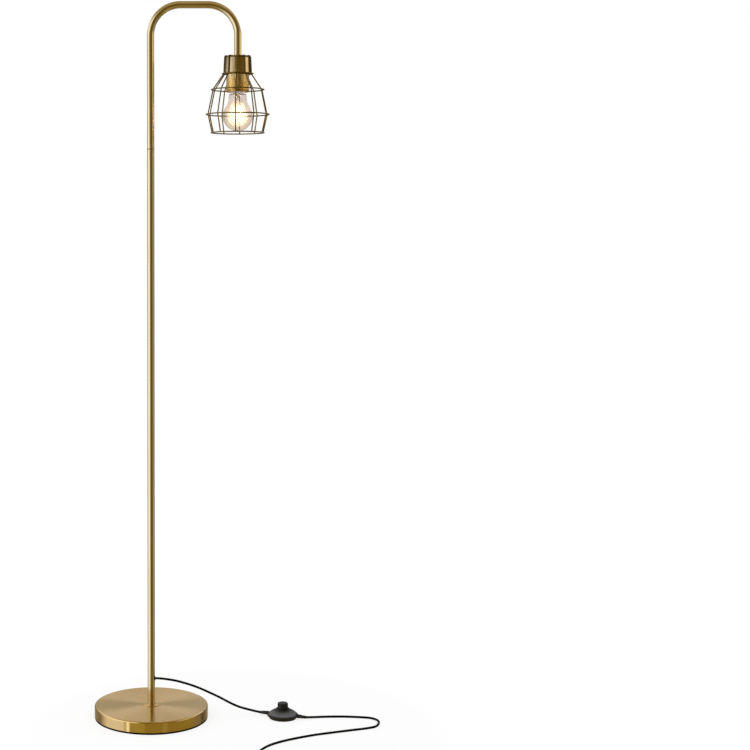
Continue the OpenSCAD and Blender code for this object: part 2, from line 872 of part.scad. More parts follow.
// Half outline of the switch's cover, shrunk by a thickness
module switch_dome(in) {
    r = switch_d / 2 - in;
    rise = switch_h - switch_tray_h - in;
    crown = (r * r + rise * rise) / (2 * rise);
    intersection() {
        translate([0, switch_tray_h + rise - crown]) circle(r = crown, $fn = 128);
        translate([0, switch_tray_h]) square([r, rise + over]);
    }
}

module switch_cover() {
    color(black) at_switch() difference() {
        rotate_extrude($fn = 96) union() {
            difference() {
                switch_dome(0);
                switch_dome(switch_wall);
            }
            translate([0, switch_h - 4]) square([button_hole_d / 2 + 2.4, 4]);
        }
        translate([0, 0, flange_z - over])
            cylinder(h = switch_h - switch_wall - flange_z + over, d = flange_d + 0.6);
        cylinder(h = switch_h + over, d = button_hole_d);
        gland_holes();
    }
}

module switch_button() {
    edge = 2;
    r = button_d / 2;
    color(black) at_switch() rotate_extrude() difference() {
        union() {
            translate([0, flange_z]) square([flange_d / 2, flange_t]);
            translate([0, flange_z]) square([r, button_top_z - edge - flange_z]);
            translate([0, flange_z]) square([r - edge, button_top_z - flange_z]);
            translate([r - edge, button_top_z - edge]) circle(r = edge, $fn = 32);
        }
        translate([-over, flange_z - over])
            square([r - button_wall + over, button_roof_z - flange_z + over]);
    }
}

module switch_spring() {
    rise = button_roof_z - spring_z - spring_wire;
    steps = 12 * spring_turns;
    line = [for (i = [0:steps]) let (turn = 360 * i / 12)
        [spring_d / 2 * cos(turn), spring_d / 2 * sin(turn),
         spring_z + spring_wire / 2 + rise * i / steps]];
    color(steel) at_switch() swept_tube(line, spring_wire / 2, 6);
}

module switch_block() {
    color(porcelain) at_switch() translate([0, 0, tray_floor_z])
        cylinder(h = block_h, d = block_d);
}

module switch_glands() {
    length = gland_out + switch_wall + 1.5;
    color(black) at_switch() gland_places(switch_entry_r - length)
        disc(gland_d, length, cord_d + 2 * fit_gap);
}

module switch_screws() {
    color(steel) at_switch() for (i = [0:2]) rotate([0, 0, 90 + 120 * i])
        translate([switch_d / 2 - 9, 0, tray_floor_z]) cylinder(h = 5, d = 3);
}

// The cord and its plug

function switch_entry(side, out) =
    let (r = switch_entry_r + out)
    [switch_at[0] + side * r * cos(switch_turn), switch_at[1] + side * r * sin(switch_turn),
     switch_cable_z];

module cord_to_switch() {
    line = smooth(concat(route_to_switch, [switch_entry(-1, cord_d), switch_entry(-1, 0)]));
    color(black) swept_tube(line, cord_d / 2, 8);
}

module cord_on_floor() {
    line = smooth(concat([switch_entry(1, 0), switch_entry(1, cord_d)], route_on_floor,
        [for (i = [3:-1:1]) [coil_at[0] + coil_r, coil_at[1] + i * cord_d, floor_cord_z]]));
    color(black) swept_tube(line, cord_d / 2, 8);
}

function coil_radius(t) = coil_r - coil_pitch * min(t, coil_turns - t);
function coil_height(t) =
    floor_cord_z + coil_layer * min(max(2 * t - coil_turns + 0.5, 0), 1);
function coil_point(t) =
    [coil_at[0] + coil_radius(t) * cos(-360 * t), coil_at[1] + coil_radius(t) * sin(-360 * t),
     coil_height(t)];

plug_at = coil_point(coil_turns) + [-2 * cord_d, 0, 0];
coil_steps = round(coil_turns * coil_loop_rings);
coil_line = concat(
    [[coil_at[0] + coil_r, coil_at[1] + cord_d, floor_cord_z]],
    [for (i = [0:coil_steps]) coil_point(coil_turns * i / coil_steps)],
    [plug_at]);

// Least gap between coil points that lie more than half a turn apart
coil_gap = min([for (i = [0:len(coil_line) - 1])
    for (j = [i + coil_loop_rings / 2:1:len(coil_line) - 1])
        norm(coil_line[i] - coil_line[j])]) - cord_d;
echo(coil_gap = coil_gap);

module cord_coil() {
    color(black) swept_tube(coil_line, cord_d / 2, 6);
}

module at_plug() {
    translate([plug_at[0], plug_at[1], plug_z]) rotate([0, 0, 180]) children();
}

module plug_body() {
    groove_w = 1.6;
    grooves = 4;
    color(black) at_plug() {
        difference() {
            rotate([0, 90, 0]) cylinder(h = relief_l, d1 = cord_d + 1, d2 = cord_d + 6);
            for (i = [1:grooves]) translate([i * relief_l / (grooves + 1), 0, 0])
                rotate([0, 90, 0]) disc(3 * cord_d, groove_w, cord_d + 1);
        }
        translate([relief_l, 0, -plug_z]) linear_extrude(height = plug_h)
            polygon([[0, -cord_d], [8, -plug_w / 2], [plug_l, -plug_w / 2],
                [plug_l, plug_w / 2], [8, plug_w / 2], [0, cord_d]]);
    }
}

module plug_blades() {
    widths = [6.3, 7.9];
    color(steel) at_plug() for (side = [0, 1])
        translate([relief_l + plug_l, (side - 0.5) * blade_pitch - 0.75, -widths[side] / 2])
            cube([blade_l, 1.5, widths[side]]);
}

base_pad();
base_weight();
base_cover();
base_bolt();
base_bolt_washer();
foot_plate();
foot_collar();
pole_lower();
pole_middle();
pole_upper();
pole_bushes();
pole_nipples();
hook_tube();
inner_cable();
cord_grommet();
shade_hub();
shade_ribs();
ring_top();
ring_collar();
ring_shoulder();
ring_waist();
ring_bottom();
shade_sleeve();
socket_cup();
head_nipple();
lock_nut();
holder_cap();
holder_body();
holder_core();
screw_shell();
centre_contact();
terminal_screws();
lead_wires();
bulb_glass();
bulb_cap();
bulb_insulator();
bulb_contact();
bulb_stem();
bulb_leads();
bulb_filaments();
switch_pad();
switch_tray();
switch_cover();
switch_button();
switch_spring();
switch_block();
switch_glands();
switch_screws();
cord_to_switch();
cord_on_floor();
cord_coil();
plug_body();
plug_blades();
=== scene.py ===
"""Looks of the arched brass floor lamp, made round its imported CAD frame."""

import math

import bmesh
import bpy
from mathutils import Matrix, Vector


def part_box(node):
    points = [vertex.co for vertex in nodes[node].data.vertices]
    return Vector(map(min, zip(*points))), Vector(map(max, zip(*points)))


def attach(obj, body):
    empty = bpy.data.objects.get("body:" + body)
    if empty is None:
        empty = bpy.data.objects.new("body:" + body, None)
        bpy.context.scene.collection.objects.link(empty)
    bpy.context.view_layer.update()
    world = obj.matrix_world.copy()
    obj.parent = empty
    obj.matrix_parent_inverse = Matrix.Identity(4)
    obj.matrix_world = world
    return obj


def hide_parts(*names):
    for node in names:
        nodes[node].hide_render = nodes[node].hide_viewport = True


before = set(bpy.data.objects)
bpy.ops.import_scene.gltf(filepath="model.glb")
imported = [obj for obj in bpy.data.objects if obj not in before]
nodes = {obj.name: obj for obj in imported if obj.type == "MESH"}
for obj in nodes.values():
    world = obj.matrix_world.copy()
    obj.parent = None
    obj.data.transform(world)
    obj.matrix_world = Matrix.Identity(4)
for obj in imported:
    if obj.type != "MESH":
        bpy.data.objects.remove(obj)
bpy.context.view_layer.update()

MM = 0.001
TURN = 2 * math.pi


def node_box(name):
    """A CAD node's lowest and highest corners, in millimetres."""
    low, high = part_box(name)
    return [v / MM for v in low], [v / MM for v in high]


# Places and sizes that the part's source gives, in millimetres and degrees
hub_low, hub_high = node_box("shade_hub")
HEAD_X = (hub_low[0] + hub_high[0]) / 2
HEAD_Z = hub_high[2]
SEAM_Z = 1250
POLE_R = 8
FLOOR_CORD_Z = 2.5
CORD_D = 5
SWITCH_AT = (290, -8)
SWITCH_TURN = -20
SWITCH_CABLE_Z = 6.6
SWITCH_ENTRY_R = 37.5
PLUG_Z = 8.1

WIRE_R = 1.4
# How far apart the axes of two wires lie where they are welded
WELD_GAP = 2.5
RIB_COUNT = 10
RIB_TURN = -6
SPOKE_DROP = 1.7
BOTTOM_DROP = 167.2
# Each rib's radius from the shade's axis and its drop under the hub
RIB_PATH = [(11.7, SPOKE_DROP), (28.9, SPOKE_DROP), (30.8, 39.6), (54.6, 74), (66, 127.6),
            (57.6, BOTTOM_DROP - WELD_GAP)]
RIB_BENDS = [WELD_GAP, 6, 6, 6]
# Each ring's radius and its drop
RINGS = [(28.9 - WELD_GAP, SPOKE_DROP + WELD_GAP), (30.8 + WELD_GAP, 39.6), (54.6 + WELD_GAP, 74),
         (66 + WELD_GAP, 127.6), (57.6, BOTTOM_DROP)]

# The cord's axis, from the pole's exit down to the switch and on over the floor to the coil
ROUTE_TO_SWITCH = [
    (9, 0, 85), (12, 0, 85), (15, 0, 85), (27, 0, 84), (41, 0, 82), (55, 0, 79.5), (70, 0, 75.5),
    (88, 0, 70), (108, 0, 62.5), (129, 0, 53), (150, 0, 43), (171, 1, 31.5),
    (191, 3, 21.5), (210, 7, 14.5), (228, 10, 9), (242, 10, 6),
]
ROUTE_ON_FLOOR = [
    (338, -23.5, 5.6), (350, -19.5, 4.2), (364, -14.5, 3), (382, -11, 2.5), (402, -10, 2.5),
    (424, -10, 2.5), (446, -12, 2.5), (466, -15, 2.5), (483, -20, 2.5), (495, -33, 2.5),
    (497, -48, 2.5), (493, -65, 2.5), (484, -79, 2.5), (462, -90, 2.5), (436, -99, 2.5),
    (408, -109, 2.5), (381, -119, 2.5), (355, -129, 2.5), (328, -142, 2.5), (303, -156, 2.5),
    (277, -173, 2.5), (253, -194, 2.5), (235, -220, 2.5), (222, -252, 2.5), (216, -286, 2.5),
    (214.7, -315, 2.5),
]
COIL_AT = (180, -350)
COIL_R = 34.7
COIL_PITCH = 5.6
COIL_LAYER = 5.6
COIL_TURNS = 5.25
# Points on each turn of the coil
COIL_STEPS = 48

# The scene's own details, in millimetres
RELIEF_R = 4.2
RELIEF_LENGTH = 19
RELIEF_TAPER = 1.35
RELIEF_END_R = 2.6
# A relief's two first points, inside the switch's cover
RELIEF_ROOTS = (5.5, 3)
# How finely it follows its cord, and how far it goes before its first groove
RELIEF_STEP = 0.6
RELIEF_PLAIN = 3
RELIEF_PITCH = 3.2
RELIEF_GROOVE = 1.1
RELIEF_GROOVE_DEPTH = 0.35
# Rings across the plug: each one's place from the cord's end, half-width, half-height and how
# square it is, where 2 is an oval. The ribbed relief comes first, and then the body swells
PLUG_START = [(0, 2.7, 2.7, 2), (0.5, 3.2, 3.2, 2)]
PLUG_RELIEF_R = 3.2
PLUG_RELIEF_GROWTH = 2.2
PLUG_RELIEF_LENGTH = 26
PLUG_RIBS = 7
PLUG_RIB_START = 1
PLUG_RIB_PITCH = 3.5
# A rib's rings: each one's place from the rib's start, and how far it stands out from the taper
PLUG_RIB = [(0, 0), (1.9, 0.15), (2.2, -0.6), (3.2, -0.5)]
PLUG_SWELL = [(26, 5.6, 5.4, 2), (27.2, 7.2, 5.9, 2.2), (29, 9.3, 6.6, 2.5), (31.5, 11.4, 7.4, 3),
              (34, 12.3, 7.9, 3.6), (36.5, 12.5, 8.1, 4)]
# Where the finger grips begin, and each one's rings from there
PLUG_GRIPS = (38.5, 41.5, 44.5, 47.5)
PLUG_GRIP = [(0, 12.3, 8.05), (0.6, 11.6, 7.7), (1.6, 11.6, 7.7), (2.2, 12.3, 8.05)]
PLUG_NOSE = [(51, 12.5, 8.1, 4), (54.4, 12.5, 8.1, 4), (55.3, 12.25, 7.85, 4),
             (55.8, 11.8, 7.4, 4), (56, 11.2, 6.8, 4)]
# Places along a weld, on its ring's way, and its radius at each
WELD_PROFILE = [(-2.3, 0.25), (-1.8, 0.9), (-1, 1.3), (0, 1.5), (1, 1.3), (1.8, 0.9), (2.3, 0.25)]
THREAD_R = 12.5
THREAD_PITCH = 3.6
THREAD_DEPTH = 0.45
# The lit air's reach round the filaments, sideways and up or down
GLOW_R = 29.5
GLOW_H = 34
# Between these heights the base's polished rim turns into its brushed top
BASE_EDGE = (26.6, 27.4)
# The switch cover's fine turned ridges, and where the painted light on its slope begins and ends
RIDGE_PITCH = 2.8
PAINTED_LIGHT_RADII = (14, 29)
PAINTED_LIGHT_FOOT = (8.5, 10.5)


# The camera, at the photograph's angle

def make_camera():
    """The photograph's long lens, which looks a little down and shows the lamp at the left."""
    data = bpy.data.cameras.new("camera")
    data.sensor_width = 36
    data.lens = 74.63
    data.shift_x = 0.2439
    data.shift_y = -0.12
    camera = bpy.data.objects.new("camera", data)
    camera.location = (0.09, -3.3912, 1.106)
    camera.rotation_euler = (math.radians(90 - 2.561), 0, 0)
    bpy.context.scene.collection.objects.link(camera)
    bpy.context.scene.camera = camera


make_camera()
bpy.context.scene.view_settings.view_transform = "Standard"


# Shapes. Points are in millimetres, meshes in metres

def metres(point):
    return Vector(point) * MM


def smoothed(points, rounds):
    """The points with one more between each two, on a cubic through four, in each round."""
    line = [Vector(p) for p in points]
    for _ in range(rounds):
        last = len(line) - 1
        finer = []
        for i in range(last):
            a, b, c, d = line[max(i - 1, 0)], line[i], line[i + 1], line[min(i + 2, last)]
            finer += [b, (9 * (b + c) - a - d) / 16]
        line = finer + [line[last]]
    return line


def rounded(points, bends, steps=7):
    """The points with each inner corner turned into an arc of its own radius."""
    line = [Vector(p) for p in points]
    out = [line[0]]
    for i, radius in enumerate(bends, start=1):
        into = (line[i] - line[i - 1]).normalized()
        away = (line[i + 1] - line[i]).normalized()
        turn = into.angle(away)
        reach = radius * math.tan(turn / 2)
        start = line[i] - into * reach
        inward = (away - into * away.dot(into)).normalized()
        centre = start + inward * radius
        for k in range(steps + 1):
            at = turn * k / steps
            out.append(centre + into * (radius * math.sin(at)) - inward * (radius * math.cos(at)))
    return out + [line[-1]]


def skin(bm, rings):
    """Adds a closed surface through rings of points, each turning to the right of its way."""
    made = [[bm.verts.new(metres(p)) for p in ring] for ring in rings]
    for a, b in zip(made, made[1:]):
        for i in range(len(a)):
            j = (i + 1) % len(a)
            bm.faces.new((a[i], a[j], b[j], b[i]))
    bm.faces.new(list(reversed(made[0])))
    bm.faces.new(made[-1])


def tube(bm, line, radius, sides=16, round_ends=False):
    """Adds a tube along the points. Its radius is a number, or one for each point."""
    line = [Vector(p) for p in line]
    radii = list(radius) if isinstance(radius, (list, tuple)) else [radius] * len(line)
    if round_ends:
        first = (line[0] - line[1]).normalized()
        last = (line[-1] - line[-2]).normalized()
        turns = [math.radians(a) for a in (20, 40, 60, 78)]
        head = [(line[0] + first * radii[0] * math.sin(a), radii[0] * math.cos(a)) for a in turns]
        tail = [(line[-1] + last * radii[-1] * math.sin(a), radii[-1] * math.cos(a))
                for a in turns]
        line = [p for p, _ in reversed(head)] + line + [p for p, _ in tail]
        radii = [r for _, r in reversed(head)] + radii + [r for _, r in tail]
    rings = []
    side = None
    for i, point in enumerate(line):
        ahead = line[min(i + 1, len(line) - 1)] - line[max(i - 1, 0)]
        ahead.normalize()
        side = ahead.orthogonal() if side is None else side - ahead * side.dot(ahead)
        side.normalize()
        up = ahead.cross(side)
        rings.append([point + radii[i] * (side * math.cos(a) + up * math.sin(a))
                      for a in (TURN * k / sides for k in range(sides))])
    skin(bm, rings)


def lathe(bm, profile, centre, sides=48, lift=None):
    """Adds a turned shape about an upright axis. The profile is (radius, height), bottom first."""
    rings = []
    for radius, z in profile:
        ring = []
        for k in range(sides):
            a = TURN * k / sides
            r = radius + (lift(a, z) if lift else 0)
            ring.append((centre[0] + r * math.cos(a), centre[1] + r * math.sin(a), z))
        rings.append(ring)
    skin(bm, rings)


def mesh_object(name, bm, smooth=True):
    """Turns a bmesh into an object. Its flat end faces, of five sides or more, stay flat."""
    data = bpy.data.meshes.new(name)
    bm.normal_update()
    bm.to_mesh(data)
    bm.free()
    for face in data.polygons:
        face.use_smooth = smooth and len(face.vertices) < 5
    made = bpy.data.objects.new(name, data)
    bpy.context.scene.collection.objects.link(made)
    return made


# The cords

def switch_entry(side, out):
    """Where a cord enters the switch at its far (1) or near (-1) side, or that much outside."""
    r = SWITCH_ENTRY_R + out
    turn = math.radians(SWITCH_TURN)
    return (SWITCH_AT[0] + side * r * math.cos(turn), SWITCH_AT[1] + side * r * math.sin(turn),
            SWITCH_CABLE_Z)


def coil_point(t):
    """The coil after t turns: inwards on the floor, up one layer halfway, and outwards."""
    r = COIL_R - COIL_PITCH * min(t, COIL_TURNS - t)
    turn = -TURN * t
    height = FLOOR_CORD_Z + COIL_LAYER * min(max(2 * t - COIL_TURNS + 0.5, 0), 1)
    return (COIL_AT[0] + r * math.cos(turn), COIL_AT[1] + r * math.sin(turn), height)


def cord_end():
    """Where the cord goes into the plug, a short straight stretch past the coil."""
    return Vector(coil_point(COIL_TURNS)) - Vector((2 * CORD_D, 0, 0))


def run_points():
    return smoothed([*ROUTE_TO_SWITCH, switch_entry(-1, CORD_D), switch_entry(-1, 0)], 2)


def tail_points():
    coil_x = COIL_AT[0] + COIL_R
    straight = [(coil_x, COIL_AT[1] + i * CORD_D, FLOOR_CORD_Z) for i in (3, 2, 1)]
    floor_line = smoothed(
        [switch_entry(1, 0), switch_entry(1, CORD_D), *ROUTE_ON_FLOOR, *straight], 2)
    steps = round(COIL_TURNS * COIL_STEPS)
    coil_line = [Vector(coil_point(COIL_TURNS * i / steps)) for i in range(steps + 1)]
    return [*floor_line, *coil_line, cord_end()]


def make_cord(name, line, replaced, **facts):
    bm = bmesh.new()
    tube(bm, line, CORD_D / 2)
    made = mesh_object(name, bm)
    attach(made, "lamp")
    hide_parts(*replaced)
    return made


def make_reliefs():
    """The switch's two strain reliefs, each ribbed and tapering on to its cord."""
    bm = bmesh.new()
    for line in (list(reversed(run_points())), tail_points()):
        walked, place, radius = 0.0, [], []
        inward = (line[0] - line[1]).normalized()
        for deep in RELIEF_ROOTS:
            place.append(line[0] + inward * deep)
            radius.append(RELIEF_R)
        for a, b in zip(line, line[1:]):
            cuts = max(1, round((b - a).length / RELIEF_STEP))
            for k in range(cuts):
                at = a.lerp(b, k / cuts)
                along = walked + (b - a).length * k / cuts
                if along > RELIEF_LENGTH:
                    break
                taper = RELIEF_R - RELIEF_TAPER * along / RELIEF_LENGTH
                grooved = along > RELIEF_PLAIN and along % RELIEF_PITCH < RELIEF_GROOVE
                place.append(at)
                radius.append(taper - (RELIEF_GROOVE_DEPTH if grooved else 0))
            walked += (b - a).length
            if walked > RELIEF_LENGTH:
                break
        place.append(place[-1] + (place[-1] - place[-2]).normalized() * 0.4)
        radius.append(RELIEF_END_R)
        tube(bm, place, radius)
    made = mesh_object("switch_reliefs", bm)
    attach(made, "lamp")
    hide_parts("switch_glands")
    return made


def plug_ring(x, half_w, half_h, power):
    """A rounded oblong across the plug, which lies along -X from the cord's end."""
    end = cord_end()
    ring = []
    for k in range(40):
        a = TURN * k / 40
        across = math.copysign(abs(math.cos(a)) ** (2 / power), math.cos(a)) * half_w
        high = math.copysign(abs(math.sin(a)) ** (2 / power), math.sin(a)) * half_h
        ring.append((end.x - x, end.y - across, PLUG_Z + high))
    return ring


def make_plug():
    """The moulded plug: a ribbed relief that swells into a waisted body with finger grips."""
    places = list(PLUG_START)
    for rib in range(PLUG_RIBS):
        start = PLUG_RIB_START + PLUG_RIB_PITCH * rib
        taper = PLUG_RELIEF_R + PLUG_RELIEF_GROWTH * start / PLUG_RELIEF_LENGTH
        places += [(start + along, taper + out, taper + out, 2) for along, out in PLUG_RIB]
    places += PLUG_SWELL
    for start in PLUG_GRIPS:
        places += [(start + along, w, h, 4) for along, w, h in PLUG_GRIP]
    places += PLUG_NOSE
    bm = bmesh.new()
    skin(bm, [plug_ring(*place) for place in places])
    made = mesh_object("plug_shell", bm)
    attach(made, "lamp")
    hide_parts("plug_body")
    return made


reliefs = make_reliefs()
plug_shell = make_plug()
run = make_cord("cord_run", run_points(), ["cord_to_switch"], length=0.263,
                far_end="fitting", lay="hanging",
                with_pieces=[reliefs, nodes["switch_tray"], nodes["switch_cover"],
                             nodes["switch_block"]])
tail = make_cord("cord_tail", tail_points(), ["cord_on_floor", "cord_coil"], length=1.566,
                 far_end="plug", lay="loose", with_pieces=[plug_shell, nodes["plug_blades"]])


# The shade's wires, and small pieces

def shade_place(radius, drop, angle):
    """A point at a radius from the shade's axis, a drop under its hub."""
    return Vector((HEAD_X + radius * math.cos(angle), radius * math.sin(angle), HEAD_Z - drop))


def rib_angles():
    """The bearing of each rib, counted from the front one."""
    return [math.radians(-90 + RIB_TURN + 360 * i / RIB_COUNT) for i in range(RIB_COUNT)]


def make_ribs():
    path = rounded([(r, 0, drop) for r, drop in RIB_PATH], RIB_BENDS)
    bm = bmesh.new()
    for angle in rib_angles():
        line = [shade_place(p.x, p.z, angle) for p in path]
        tube(bm, line, WIRE_R, sides=14, round_ends=True)
    made = mesh_object("shade_wires", bm)
    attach(made, "lamp")
    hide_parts("shade_ribs")
    return made


def rib_radius_at(drop):
    """The radius of a rib's axis where it is at that drop."""
    for (r0, d0), (r1, d1) in zip(RIB_PATH[1:], RIB_PATH[2:]):
        if d0 <= drop <= d1:
            return r0 + (r1 - r0) * (drop - d0) / (d1 - d0)
    return RIB_PATH[-1][0]


def make_welds():
    """The small fillets of weld where each rib meets each ring."""
    bm = bmesh.new()
    for ring_r, drop in RINGS:
        for angle in rib_angles():
            middle = (ring_r + rib_radius_at(min(drop, RIB_PATH[-1][1]))) / 2
            at = shade_place(middle, drop, angle)
            around = Vector((-math.sin(angle), math.cos(angle), 0))
            tube(bm, [at + around * s for s, _ in WELD_PROFILE], [r for _, r in WELD_PROFILE],
                 sides=8)
    made = mesh_object("shade_welds", bm)
    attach(made, "lamp")
    return made


def make_seam():
    """The fine line where two of the pole's sections meet: a groove between two thin lips, in dark
    brass that paints the shadow in it.
    """
    bm = bmesh.new()
    profile = [(POLE_R - 0.6, SEAM_Z - 0.9), (POLE_R + 0.03, SEAM_Z - 0.85),
               (POLE_R + 0.12, SEAM_Z - 0.45), (POLE_R + 0.02, SEAM_Z - 0.25),
               (POLE_R + 0.02, SEAM_Z + 0.25), (POLE_R + 0.12, SEAM_Z + 0.45),
               (POLE_R + 0.03, SEAM_Z + 0.85), (POLE_R - 0.6, SEAM_Z + 0.9)]
    lathe(bm, profile, (0, 0), sides=64)
    made = mesh_object("seam_line", bm)
    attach(made, "lamp")
    return made


def make_bulb_cap():
    """The bulb's screw cap with its rolled thread."""
    low, high = node_box("bulb_cap")
    centre = ((low[0] + high[0]) / 2, (low[1] + high[1]) / 2)
    top, bottom = high[2], low[2]

    def thread(angle, z):
        """How far the thread stands out. It fades towards the cap's ends."""
        fade = min(max((z - bottom - 3) / 1.5, 0), 1, max((top - 3 - z) / 1.5, 0))
        return THREAD_DEPTH * fade * math.cos(TURN * (z - bottom) / THREAD_PITCH - angle)

    steps = 70
    profile = [(12.7, bottom), (12.95, bottom + 0.3), (12.95, bottom + 1.2), (12.55, bottom + 1.6)]
    for i in range(steps + 1):
        z = bottom + 1.8 + (top - bottom - 3.6) * i / steps
        profile.append((THREAD_R, z))
    profile += [(12.0, top - 1.2), (11.4, top - 0.5), (11.0, top)]
    bm = bmesh.new()
    lathe(bm, profile, centre, sides=60, lift=thread)
    made = mesh_object("bulb_thread", bm)
    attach(made, "bulb")
    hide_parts("bulb_cap")
    return made


def make_glow():
    """The lit air round the filaments, seen as a soft bright body inside the glass."""
    low, high = node_box("bulb_filaments")
    middle = [(a + b) / 2 for a, b in zip(low, high)]
    steps = 14
    profile = []
    for i in range(1, steps):
        turn = math.pi * i / steps
        profile.append((GLOW_R * math.sin(turn) ** 0.8, middle[2] - GLOW_H * math.cos(turn)))
    bm = bmesh.new()
    lathe(bm, profile, middle, sides=32)
    made = mesh_object("bulb_glow", bm)
    for kind in ("diffuse", "glossy", "shadow"):
        setattr(made, "visible_" + kind, False)
    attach(made, "bulb")
    return made, middle


ribs = make_ribs()
welds = make_welds()
seam = make_seam()
bulb_thread = make_bulb_cap()
glow, glow_middle = make_glow()


# Materials. Each is made of nodes in the object's own coordinates

class Tree:
    """A node tree with short ways to add and link nodes."""

    def __init__(self, owner):
        owner.use_nodes = True
        self.tree = owner.node_tree
        self.tree.nodes.clear()

    def set(self, socket, value):
        if isinstance(value, bpy.types.NodeSocket):
            self.tree.links.new(value, socket)
        elif value is not None:
            socket.default_value = value

    def node(self, kind, inputs=None, **settings):
        made = self.tree.nodes.new("ShaderNode" + kind)
        for name, value in settings.items():
            setattr(made, name, value)
        for name, value in (inputs or {}).items():
            self.set(made.inputs[name], value)
        return made

    def math(self, operation, *values):
        return self.node("Math", dict(enumerate(values)), operation=operation).outputs[0]

    def mix(self, factor, first, second):
        """One colour turned into another. The node's colour sockets are its seventh and eighth."""
        made = self.node("Mix", {0: factor, 6: first, 7: second}, data_type="RGBA")
        return made.outputs[2]

    def blend(self, factor, first, second):
        """One shader turned into another."""
        return self.node("MixShader", {0: factor, 1: first, 2: second}).outputs[0]

    def ramp(self, factor, stops):
        made = self.node("ValToRGB", {"Fac": factor})
        elements = made.color_ramp.elements
        while len(elements) < len(stops):
            elements.new(0.5)
        for element, (place, colour) in zip(elements, stops):
            element.position = place
            element.color = (*colour, 1)
        return made.outputs[0]

    def noise(self, vector, scale, detail=3.0, roughness=0.5):
        made = self.node("TexNoise", {"Vector": vector, "Scale": scale, "Detail": detail,
                                      "Roughness": roughness})
        return made.outputs["Fac"]

    def between(self, value, low, high, start=0.0, end=1.0, kind="LINEAR"):
        """The value, from start to end, moved to the range from low to high."""
        made = self.node("MapRange", {"Value": value, "From Min": start, "From Max": end,
                                      "To Min": low, "To Max": high}, interpolation_type=kind)
        return made.outputs[0]

    def object_place(self):
        return self.node("TexCoord").outputs["Object"]

    def stretched(self, scale):
        """The object's coordinates in metres, stretched by a scale along each axis."""
        return self.node("Mapping", {"Vector": self.object_place(), "Scale": scale}).outputs[0]

    def parts(self, vector):
        return self.node("SeparateXYZ", {"Vector": vector}).outputs

    def length(self, x, y):
        """How far a point lies from the upright axis."""
        return self.math("SQRT", self.math("ADD", self.math("MULTIPLY", x, x),
                                           self.math("MULTIPLY", y, y)))

    def bump(self, height, strength, distance=0.0002):
        return self.node("Bump", {"Height": height, "Strength": strength,
                                  "Distance": distance}).outputs[0]


def grey(value):
    return (value, value, value)


def new_material(name):
    made = bpy.data.materials.new(name)
    return made, Tree(made)


def principled(tree, **inputs):
    names = {"colour": "Base Color", "metal": "Metallic", "rough": "Roughness",
             "normal": "Normal", "coat": "Coat Weight", "coat_rough": "Coat Roughness",
             "aniso": "Anisotropic", "aniso_turn": "Anisotropic Rotation", "tangent": "Tangent",
             "glass": "Transmission Weight", "ior": "IOR", "specular": "Specular IOR Level",
             "glow": "Emission Color", "glow_strength": "Emission Strength"}
    shader = tree.node("BsdfPrincipled", {names[k]: v for k, v in inputs.items()})
    return shader.outputs[0]


def finish_material(tree, shader, kind="Surface"):
    tree.node("OutputMaterial", {kind: shader})


BRASS_DEEP = (0.67, 0.54, 0.31)
BRASS_MID = (0.72, 0.61, 0.385)
BRASS_PALE = (0.77, 0.67, 0.46)
WARM_DEEP = (0.66, 0.46, 0.185)
WARM_MID = (0.72, 0.53, 0.24)
WARM_PALE = (0.78, 0.61, 0.32)


def brass(name, roughness, streaks, bump, colours=(BRASS_DEEP, BRASS_MID, BRASS_PALE),
          coat=0.2, painted_bulb_light=None, distance=0.0002):
    """Lacquered brass plating: soft patches of colour, streaks left by the polishing belt.

    The painted bulb light, where given, is two heights in metres and a warm tint that the brass
    takes from one down to the other: painted light from the lit bulb under it.
    """
    made, tree = new_material(name)
    patches = tree.noise(tree.stretched((9, 9, 5)), 1.0, 4.0)
    lines = tree.noise(tree.stretched(streaks), 1.0, 4.0, 0.6)
    tone = tree.math("ADD", tree.math("MULTIPLY", patches, 0.7),
                     tree.math("MULTIPLY", lines, 0.3))
    colour = tree.ramp(tone, list(zip((0.3, 0.5, 0.72), colours)))
    if painted_bulb_light:
        low_z, high_z, tint = painted_bulb_light
        z = tree.parts(tree.object_place())[2]
        share = tree.between(z, 1.0, 0.0, low_z, high_z, "SMOOTHSTEP")
        colour = tree.mix(share, colour, (*tint, 1))
    finish_material(tree, principled(
        tree, colour=colour, metal=1.0,
        rough=tree.between(lines, roughness * 0.8, roughness * 1.2),
        normal=tree.bump(lines, bump, distance), coat=coat, coat_rough=0.12))
    return made


# How close together the base's spun rings lie, and how much rougher its top is than its rim
SPIN_SCALE = 2600.0
TOP_ROUGH = 0.21


